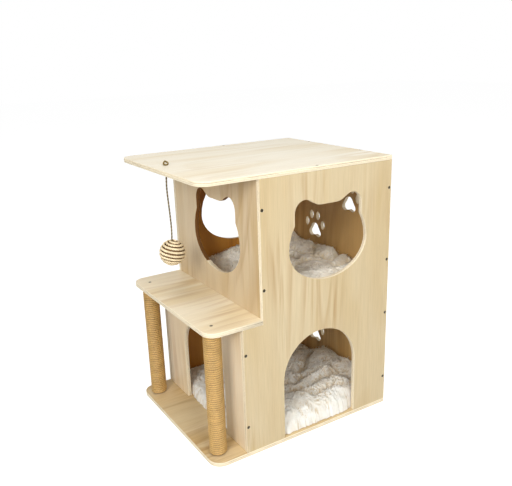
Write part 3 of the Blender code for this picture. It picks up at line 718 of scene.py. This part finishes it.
def ball_route(centre, radius):
    """The ball's winding, from pole to pole, leaning as in the photograph."""
    first = math.radians(BALL_START_ANGLE)
    travel = math.pi - 2 * first
    loops = travel * radius / BALL_PITCH
    count = round(loops * BALL_STEPS)
    lean = Matrix.Rotation(math.radians(BALL_LEAN), 3, BALL_LEAN_AXIS)
    line = []
    for k in range(count + 1):
        polar = first + travel * k / count
        turn = 2 * math.pi * loops * k / count
        flat = radius * math.sin(polar)
        offset = Vector((flat * math.cos(turn), flat * math.sin(turn), radius * math.cos(polar)))
        line.append(centre + lean @ offset)
    return np.array(line)


def dress_ball(rope, core):
    """The ball: a dark fibrous core and the pale rope round it."""
    low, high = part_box("ball_core")
    centre = middle_of("ball_core")
    core_radius = (high.z - low.z) / 2
    bm = bmesh.new()
    bmesh.ops.create_uvsphere(bm, u_segments=64, v_segments=40, radius=core_radius)
    for vert in bm.verts:
        ripple = noise.noise(vert.co * BALL_RIPPLES_PER_METRE) * BALL_RIPPLE
        vert.co = vert.co * (1 + ripple / core_radius) + centre
    add_piece("ball_middle", finished(bm, "ball_core", core), "ball", "ball_core")
    facet = math.cos(math.pi / BALL_LOOP_POINTS)
    radius = (core_radius + BALL_ROPE_RADIUS + BALL_CLEARANCE) / facet
    line = ball_route(centre, radius)
    add_rope("ball_rope", line, BALL_ROPE_RADIUS, BALL_TWIST, rope, "ball",
             "ball_winding", outward=unit(line - np.array(centre)))


def on_hole_axis(height):
    """The point at a height on the axis of the cord's hole."""
    low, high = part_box("cord_bend")
    return Vector(((low.x + high.x) / 2, (low.y + high.y) / 2, height))


def cord_line():
    """The hanging cord's middle line, from the hole down to the ball."""
    low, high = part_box("hanging_cord")
    top = on_hole_axis(high.z)
    down = low.z - high.z
    sway = Vector(CORD_SWAY_TOWARDS)
    points = [top + Vector((0, 0, down * share)) + sway * aside for share, aside in CORD_ROUTE]
    return smooth_line(points, CORD_SPACING)


def knot_line():
    """The knot over the hole: a small upright ring with the tail standing out of its top."""
    foot = on_hole_axis(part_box("top_panel")[1].z)
    along = Vector(CORD_SWAY_TOWARDS)
    away = Vector((0, 0, 1)).cross(along)
    line = [foot + (along * a + away * b + Vector((0, 0, c))) / 1000 for a, b, c in KNOT_ROUTE]
    return smooth_line(line, CORD_SPACING)


def dress_cord(material, knot_material):
    """The cord with its knot on the top and its bend in the hole."""
    line = cord_line()
    cord = add_rope("toy_cord", line, CORD_STRANDS_RADIUS, CORD_TWIST, material, "cord",
                    "hanging_cord")
    knot = add_rope("cord_knot", knot_line(), KNOT_STRANDS_RADIUS, KNOT_TWIST, knot_material,
                    "house", "top_knot")
    low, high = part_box("cord_bend")
    bm = bmesh.new()
    bmesh.ops.create_uvsphere(bm, u_segments=20, v_segments=12, radius=(high.z - low.z) / 2)
    bmesh.ops.translate(bm, verts=bm.verts, vec=middle_of("cord_bend"))
    mesh = finished(bm, "cord_turn", material)
    turn = add_piece("cord_turn", mesh, "cord_bend", "cord_bend")


def screw_corners():
    """The cosine and sine of each corner's angle."""
    angles = [2 * math.pi * k / SCREW_SIDES for k in range(SCREW_SIDES)]
    return [(math.cos(angle), math.sin(angle)) for angle in angles]


def join_rings(bm, upper, lower):
    for k in range(SCREW_SIDES):
        n = (k + 1) % SCREW_SIDES
        bm.faces.new((upper[k], upper[n], lower[n], lower[k]))


def close_ring(bm, ring, height):
    """Fans the ring to a point on the axis."""
    point = bm.verts.new((0, 0, height))
    for k in range(SCREW_SIDES):
        bm.faces.new((ring[k], ring[(k + 1) % SCREW_SIDES], point))


def screw_mesh(material):
    """A countersunk screw, head up at height 0, with a cross recess."""
    bm = bmesh.new()
    profile = ((SCREW_HEAD * 0.94, 0.0), (SCREW_HEAD, -SCREW_ARRIS), (SCREW_SHANK, -SCREW_DEPTH),
               (SCREW_SHANK, -SCREW_LENGTH + SCREW_TIP))
    rings = []
    for radius, height in profile:
        rings.append([bm.verts.new((radius * x, radius * y, height)) for x, y in screw_corners()])
    for upper, lower in zip(rings, rings[1:]):
        join_rings(bm, upper, lower)
    close_ring(bm, rings[-1], -SCREW_LENGTH)
    add_recess(bm, rings[0])
    bmesh.ops.recalc_face_normals(bm, faces=bm.faces)
    mesh = finished(bm, "screw", material)
    mesh.set_sharp_from_angle(angle=SCREW_SHARP_ANGLE)
    return mesh


def add_recess(bm, rim):
    """Closes the head with a sunk cross: three corners of each quarter lie far out as an arm."""
    half = SCREW_SIDES // 8
    edge = []
    for k, (x, y) in enumerate(screw_corners()):
        from_arm = abs((k + half) % (2 * half) - half)
        reach = SCREW_HEAD * (RECESS_ARM if from_arm <= 1 else RECESS_WAIST)
        edge.append((reach * x, reach * y))
    top = [bm.verts.new((x, y, 0.0)) for x, y in edge]
    low = [bm.verts.new((x * RECESS_NARROWING, y * RECESS_NARROWING, -RECESS_DEPTH))
           for x, y in edge]
    join_rings(bm, rim, top)
    join_rings(bm, top, low)
    close_ring(bm, low, -RECESS_DEPTH * 1.2)


def dress_screws(material):
    """Every screw, turned the way its solid points."""
    mesh = screw_mesh(material)
    for number, node in enumerate(sorted(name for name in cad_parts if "_screw" in name)):
        axis, side = SCREW_FACES[node.split("_")[0]]
        place = middle_of(node)
        place[axis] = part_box(node)[1 if side > 0 else 0][axis]
        out = Vector((0, 0, 0))
        out[axis] = side
        turn = Matrix.Rotation(number * SCREW_TURN, 4, "Z")
        facing = Vector((0, 0, 1)).rotation_difference(out).to_matrix().to_4x4()
        add_piece(node + "_steel", mesh, "house", node,
                  place=Matrix.Translation(place) @ facing @ turn)


def noise_field(points, size, shift):
    """Smooth noise from -1 to 1 at each point; size is its lumps' length, shift picks its place."""
    shift = Vector(shift)
    return np.array([noise.noise(Vector(point) / size + shift) for point in points])


def distance_to_line(flat, line):
    """How far each (x, y) lies from a bent line."""
    nearest = np.full(len(flat), 1e9)
    for start, end in zip(line, line[1:]):
        start, end = np.array(start, float), np.array(end, float)
        run = end - start
        share = np.clip(((flat - start) @ run) / (run @ run), 0, 1)
        distance = np.linalg.norm(flat - start - share[:, None] * run, axis=1)
        nearest = np.minimum(nearest, distance)
    return nearest


def mat_heights(flat, spec, room):
    """The plush's height over its floor, and how deep in a fold each point lies, from 0 to 1."""
    (x0, _), (x1, _) = room
    points = np.column_stack([flat, np.zeros(len(flat))])
    wander = np.column_stack([noise_field(points, WANDER_SIZE, (1, 2, 3)),
                              noise_field(points, WANDER_SIZE, (7, 5, 9))]) * WANDER_REACH
    far = np.interp(flat[:, 1], *zip(*spec["wall_side"]))
    near = np.interp(flat[:, 1], *zip(*spec["open_side"]))
    across = np.clip((flat[:, 0] - x0) / (x1 - x0), 0, 1)
    height = near + (far - near) * across ** spec["climb"]
    moved = flat + wander
    for x, y, rise, wide, deep in spec["mounds"]:
        reach = ((moved[:, 0] - x) / wide) ** 2 + ((moved[:, 1] - y) / deep) ** 2
        height += rise * np.exp(-reach)
    crease = np.full(len(flat), 1e9)
    for line in spec["creases"]:
        crease = np.minimum(crease, distance_to_line(flat + wander * 0.8, line))
    fold = np.exp(-(crease / spec["crease_reach"]) ** FOLD_SHARPNESS)
    height -= spec["crease_depth"] * fold
    swell_size, swell_rise = SWELL
    lump_size, lump_rise = LUMP
    height += (swell_rise * noise_field(points, swell_size, (4, 4, 1))
               + lump_rise * noise_field(points, lump_size, (2, 8, 3)))
    return height, fold


def combed_locks(flat):
    """Locks of pile over the plush, from 0 in their partings to 1 on their crests."""
    points = np.column_stack([flat, np.zeros(len(flat))])
    bend = np.column_stack([noise_field(points, LOCK_BEND_SIZE, (6, 1, 2)),
                            noise_field(points, LOCK_BEND_SIZE, (3, 9, 4))])
    warped = flat + bend * LOCK_BEND
    layers = []
    for angle, shift in LOCK_ANGLES:
        along = np.array([math.sin(angle), -math.cos(angle)])
        across = np.array([math.cos(angle), math.sin(angle)])
        layer = 0
        for share, length, width in LOCK_SIZES:
            drawn = np.column_stack([warped @ along / length, warped @ across / width,
                                     np.full(len(flat), angle)])
            layer = layer + share * np.abs(noise_field(drawn, 1, shift))
        layers.append(layer)
    pick = noise_field(points, LOCK_PATCH, (5, 3, 8)) * 2.2
    low, high = np.clip(0.5 - pick, 0, 1), np.clip(0.5 + pick, 0, 1)
    apart = 1 - high * low
    mixed = layers[0] * low * apart + layers[2] * high * apart + layers[1] * 2 * low * high
    return np.clip(mixed * 2.4, 0, 1)


def fringe(flat, axis, shape):
    """How far the pile reaches out into a doorway, along one axis."""
    least, change, most = FRINGE_REACH
    places = np.zeros((len(flat), 3))
    places[:, axis] = flat[:, axis]
    ragged = least + change * noise_field(places, FRINGE_SIZE, (9.3, 9.4, 2.6))
    return np.clip(ragged, 0, most).reshape(shape)


def in_doorway(place, span, axis):
    """1 where the doorway is, and 0 past its sides, with a soft change between."""
    start, end = [(corner - MAT_ORIGIN[axis]) * 1000 for corner in span]
    inside = np.minimum(place - start - FRINGE_INSET, end - FRINGE_INSET - place)
    return np.clip(inside / FRINGE_BLEND, 0, 1)


def mat_surface(spec, room, floor):
    """A grid over the room: its points, the normals of the plush's upper side and its tone, which is
    painted shade in the partings and folds.
    """
    (x0, y0), (x1, y1) = room
    columns, rows = spec["grid"]
    gx, gy = np.meshgrid(np.linspace(x0, x1, columns), np.linspace(y0, y1, rows), indexing="ij")
    flat = np.column_stack([gx.ravel(), gy.ravel()])
    locks = combed_locks(flat)
    height, fold = mat_heights(flat, spec, room)
    height = (height + LOCK_HEIGHT * (locks - 0.6)).reshape(gx.shape)
    # Painted shade: darker in the partings between locks and deeper in the folds
    tone = locks * (1 - FOLD_SHADE[0] * fold) - FOLD_SHADE[1] * fold
    fall = np.ones_like(height)
    for distance, radius in zip((gx - x0, x1 - gx, gy - y0, y1 - gy), spec["edge_radius"]):
        fall = np.minimum(fall, np.clip(distance / radius, 0, 1))
    height = height * np.sqrt(np.maximum(0, 1 - (1 - fall) ** 2)) ** 0.8
    height = np.maximum(height, 1.0)
    front, back, left = spec["doors"]
    to_left = in_doorway(gy, left, Y) * np.exp(-(gx - x0) / FRINGE_FADE)
    to_back = in_doorway(gx, back, X) * np.exp(-(y1 - gy) / FRINGE_FADE)
    to_front = in_doorway(gx, front, X) * np.exp(-(gy - y0) / FRINGE_FADE)
    grid = np.stack([
        gx - fringe(flat, Y, gx.shape) * to_left,
        gy + fringe(flat, X, gx.shape) * (to_back - to_front),
        height,
    ], axis=2)
    along_x, along_y = np.gradient(grid, axis=0), np.gradient(grid, axis=1)
    normals = np.cross(along_x, along_y)
    normals /= np.linalg.norm(normals, axis=2)[:, :, None]
    grid = grid / 1000 + np.array([MAT_ORIGIN[0], MAT_ORIGIN[1], floor + MAT_LIFT])
    return grid, normals, tone


def grid_value(grid, u, v):
    """Values between the grid's points, at shares u and v of its length and width."""
    columns, rows = grid.shape[0] - 1, grid.shape[1] - 1
    a, b = np.clip(u * columns, 0, columns - 1e-6), np.clip(v * rows, 0, rows - 1e-6)
    i, j = a.astype(int), b.astype(int)
    a, b = (a - i)[:, None], (b - j)[:, None]
    return ((grid[i, j] * (1 - a) + grid[i + 1, j] * a) * (1 - b)
            + (grid[i, j + 1] * (1 - a) + grid[i + 1, j + 1] * a) * b)


def loose_pile(grid, normals, locks, rng):
    """Locks of loose fibres over the plush: each fibre's four points, and its shading normals."""
    u, v = rng.random(locks), rng.random(locks)
    roots, out = grid_value(grid, u, v), unit(grid_value(normals, u, v))
    turn = (noise_field(roots, 0.050, (3, 1, 6)) * 1.6
            + noise_field(roots, 0.014, (5, 2, 1)) * 1.4)
    lay = np.column_stack([np.sin(turn), -np.cos(turn), np.zeros(locks)])
    lay = lay + 1.5 * np.column_stack([out[:, 0], out[:, 1], np.zeros(locks)])
    lay = unit(lay - out * np.sum(lay * out, axis=1)[:, None])
    reach = PILE_LENGTH * rng.uniform(0.6, 1.3, locks)
    lean = rng.uniform(0.2, 0.7, locks)
    heading = unit(out * lean[:, None] + lay)
    tips = roots + heading * reach[:, None]
    tips[:, 2] -= reach * 0.12
    side = unit(np.cross(heading, out))
    blades, shades = [], []
    for _ in range(FIBRES_PER_LOCK):
        around = rng.normal(0, PILE_SPREAD, (locks, 2))
        aside = side * around[:, :1]
        root = roots + aside + lay * around[:, 1:] - out * 0.001
        tip = tips + aside * 0.30 + rng.normal(0, PILE_SPREAD * 0.30, (locks, 3))
        tip = root + (tip - root) * rng.uniform(0.7, 1.1, locks)[:, None]
        middle = root * 0.55 + tip * 0.45 + out * reach[:, None] * 0.12 + aside * 0.30
        width = side * (FIBRE_WIDTH * rng.uniform(0.7, 1.3, locks))[:, None]
        blades.append(np.stack([root, middle + width, tip, middle - width], axis=1))
        shades.append(unit(out + 0.14 * rng.normal(0, 1, (locks, 3))))
    return np.concatenate(blades), np.concatenate(shades)


def keep_in_room(points, room, floor, doors, rng):
    """Turns back the fibres at the walls and the floor; in a doorway they may lie on its sill."""
    low, high = [np.array(corner) / 1000 + np.array(MAT_ORIGIN) for corner in room]
    low, high = low + WALL_MARGIN, high - WALL_MARGIN
    x, y = points[:, 0].copy(), points[:, 1].copy()
    sill = rng.uniform(0.0, SILL_REACH, len(points))
    front, back, left = doors
    at_front = (x > front[0]) & (x < front[1])
    at_back = (x > back[0]) & (x < back[1])
    at_left = (y > left[0]) & (y < left[1])
    points[:, 0] = np.clip(x, np.where(at_left, low[0] - sill, low[0]), high[0])
    points[:, 1] = np.clip(y, np.where(at_front, low[1] - sill, low[1]),
                           np.where(at_back, high[1] + sill, high[1]))
    points[:, 2] = np.maximum(points[:, 2], floor + MAT_LIFT)
    return points


def mat_body(top, columns, rows, under_height):
    """The closed body under the fibres: the points of its underside and all its faces."""
    faces = []
    for i in range(columns - 1):
        for j in range(rows - 1):
            a = i * rows + j
            faces.append((a, a + rows, a + rows + 1, a + 1))
    rim = [i * rows for i in range(columns)]
    rim += [(columns - 1) * rows + j for j in range(1, rows)]
    rim += [i * rows + rows - 1 for i in range(columns - 2, -1, -1)]
    rim += range(rows - 2, 0, -1)
    under = top[rim]
    under[:, 2] = under_height
    around = list(range(columns * rows, columns * rows + len(rim)))
    for k in range(len(rim)):
        n = (k + 1) % len(rim)
        faces.append((rim[k], around[k], around[n], rim[n]))
    faces.append(tuple(around[::-1]))
    return under, faces


def dress_mat(node, spec, material, rng):
    """One plush mat: a lumpy, folded body under a coat of slim fibres."""
    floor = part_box(spec["floor"])[1].z
    inner_low = Vector((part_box(spec["left_wall"])[1].x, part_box("front_wall")[1].y))
    inner_high = Vector((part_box("right_wall")[0].x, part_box("back_wall")[0].y))
    room = [tuple((corner[k] - MAT_ORIGIN[k]) * 1000 for k in (X, Y))
            for corner in (inner_low, inner_high)]
    body_room = [tuple(c + MAT_MARGIN for c in room[0]), tuple(c - MAT_MARGIN for c in room[1])]
    grid, normals, tone = mat_surface(spec, body_room, floor)
    top = grid.reshape(-1, 3)
    under, faces = mat_body(top, *grid.shape[:2], floor + MAT_UNDERSIDE)
    free, shade = loose_pile(grid, normals, spec["locks"], rng)
    held = keep_in_room(free.reshape(-1, 3).copy(), room, floor, spec["doors"], rng)
    held = held.reshape(free.shape)
    whole = np.linalg.norm(held - free, axis=2).max(axis=1) < FIBRE_MAY_MOVE
    whole &= np.linalg.norm(held[:, 1] - held[:, 3], axis=1) < FIBRE_MAY_WIDEN
    blades, shade = held[whole].reshape(-1, 3), shade[whole]
    start = len(top) + len(under)
    for a in range(start, start + len(blades), 4):
        faces.append((a, a + 1, a + 2, a + 3))
    mesh = mesh_from(node, np.concatenate([top, under, blades]), faces, material)
    # The body's tone, with its painted shade, goes to the material as 'tip'; the fibres get 1
    set_values(mesh, "tip", np.concatenate([tone, np.zeros(len(under))]))
    down = np.tile([0.0, 0.0, -1.0], (len(under), 1))
    soft = np.concatenate([normals.reshape(-1, 3), down, np.repeat(shade, 4, axis=0)])
    mesh.normals_split_custom_set_from_vertices([tuple(n) for n in soft])
    mat = add_piece(node + "_plush", mesh, "house", node)


def add_camera():
    yaw, pitch, roll = (math.radians(a) for a in (CAMERA_YAW, CAMERA_PITCH, CAMERA_ROLL))
    ahead = Vector((math.sin(yaw) * math.cos(pitch), math.cos(yaw) * math.cos(pitch),
                    -math.sin(pitch)))
    level = Vector((math.cos(yaw), -math.sin(yaw), 0))
    over = level.cross(ahead)
    right = level * math.cos(roll) + over * math.sin(roll)
    up = over * math.cos(roll) - level * math.sin(roll)
    camera = bpy.data.cameras.new("camera")
    camera.sensor_width = SENSOR_WIDTH
    camera.lens = FOCAL_PIXELS / FRAME_WIDTH * SENSOR_WIDTH
    camera.shift_x, camera.shift_y = CAMERA_SHIFT
    thing = bpy.data.objects.new("camera", camera)
    bpy.context.scene.collection.objects.link(thing)
    rotation = Matrix((right, up, -ahead)).transposed().to_4x4()
    thing.matrix_world = Matrix.Translation(CAMERA_PLACE) @ rotation
    bpy.context.scene.camera = thing


def add_lamp(name, place, target, size, power):
    lamp = bpy.data.lights.new(name, "AREA")
    lamp.shape = "SQUARE"
    lamp.size = size
    lamp.energy = power
    thing = bpy.data.objects.new(name, lamp)
    thing.location = place
    thing.rotation_euler = (Vector(target) - Vector(place)).to_track_quat("-Z", "Y").to_euler()
    bpy.context.scene.collection.objects.link(thing)


def seen_rays(tree):
    """1 for camera, mirror and see-through rays, and 0 for the rays that light things."""
    path = tree.nodes.new("ShaderNodeLightPath")
    total = path.outputs["Is Camera Ray"]
    for name in ("Is Glossy Ray", "Is Transmission Ray"):
        add = tree.nodes.new("ShaderNodeMath")
        add.operation = "MAXIMUM"
        tree.links.new(total, add.inputs[0])
        tree.links.new(path.outputs[name], add.inputs[1])
        total = add.outputs[0]
    return total


def add_world():
    """A pale sky that looks white to the camera and in reflections."""
    world = bpy.data.worlds.new("studio")
    world.use_nodes = True
    tree = world.node_tree
    background = tree.nodes["Background"]
    background.inputs["Color"].default_value = (1, 1, 1, 1)
    level = tree.nodes.new("ShaderNodeMapRange")
    level.inputs["To Min"].default_value = WORLD_STRENGTH
    level.inputs["To Max"].default_value = 1.0
    tree.links.new(seen_rays(tree), level.inputs["Value"])
    tree.links.new(level.outputs[0], background.inputs["Strength"])
    bpy.context.scene.world = world


def floor_paint():
    """Pale grey with a glow, so that it looks white and still takes a faint shadow."""
    paint = Paint("floor", roughness=0.9, specular=0.0)
    paint.colour(FLOOR_GREY)
    glow = paint.node("ShaderNodeEmission", Strength=paint.times(seen_rays(paint.tree), FLOOR_GLOW))
    both = paint.tree.nodes.new("ShaderNodeAddShader")
    paint.put(both.inputs[0], paint.shader.outputs[0])
    paint.put(both.inputs[1], glow.outputs[0])
    paint.put(paint.tree.nodes["Material Output"].inputs["Surface"], both.outputs[0])
    return paint.material


def add_floor():
    bm = bmesh.new()
    bmesh.ops.create_grid(bm, x_segments=1, y_segments=1, size=FLOOR_SIZE)
    floor = bpy.data.objects.new("floor", finished(bm, "floor", floor_paint()))
    floor.location.z = FLOOR_HEIGHT
    bpy.context.scene.collection.objects.link(floor)


def set_stage():
    add_camera()
    add_world()
    for name, values in LAMPS.items():
        add_lamp(name, *values)
    add_floor()
    bpy.context.scene.view_settings.view_transform = "Standard"


def build():
    rng = np.random.default_rng(SEED)
    set_stage()
    dress_cord(rope_paint("cord", CORD_TONES, 0.85), rope_paint("cord_knot", KNOT_TONES, 0.85))
    for node, values in BOARDS.items():
        dress_board(node, *values)
    sisal = rope_paint("sisal", SISAL_TONES, 0.90, roughness=0.45, specular=0.6)
    for end in ("front", "rear"):
        dress_post(end, sisal, rng)
    cream = rope_paint("cream_rope", CREAM_TONES, 0.45)
    core = plain_paint("ball_core", srgb(150, 104, 54), srgb(104, 68, 32), 700, 0.95)
    dress_ball(cream, core)
    wood = plain_paint("post_core", srgb(196, 160, 112), srgb(150, 112, 70), 300, 0.8)
    for end in ("front", "rear"):
        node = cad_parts[end + "_post_core"]
        node.data.materials.clear()
        node.data.materials.append(wood)
    steel = plain_paint("screw", srgb(96, 86, 70), srgb(52, 46, 38), 900, 0.42, metallic=0.8)
    dress_screws(steel)
    dress_mat("lower_mat", LOWER_MAT, plush_paint("lower_plush", *LOWER_PLUSH_SHADE_TONES), rng)
    dress_mat("upper_mat", UPPER_MAT, plush_paint("upper_plush", *UPPER_PLUSH_SHADE_TONES), rng)


build()
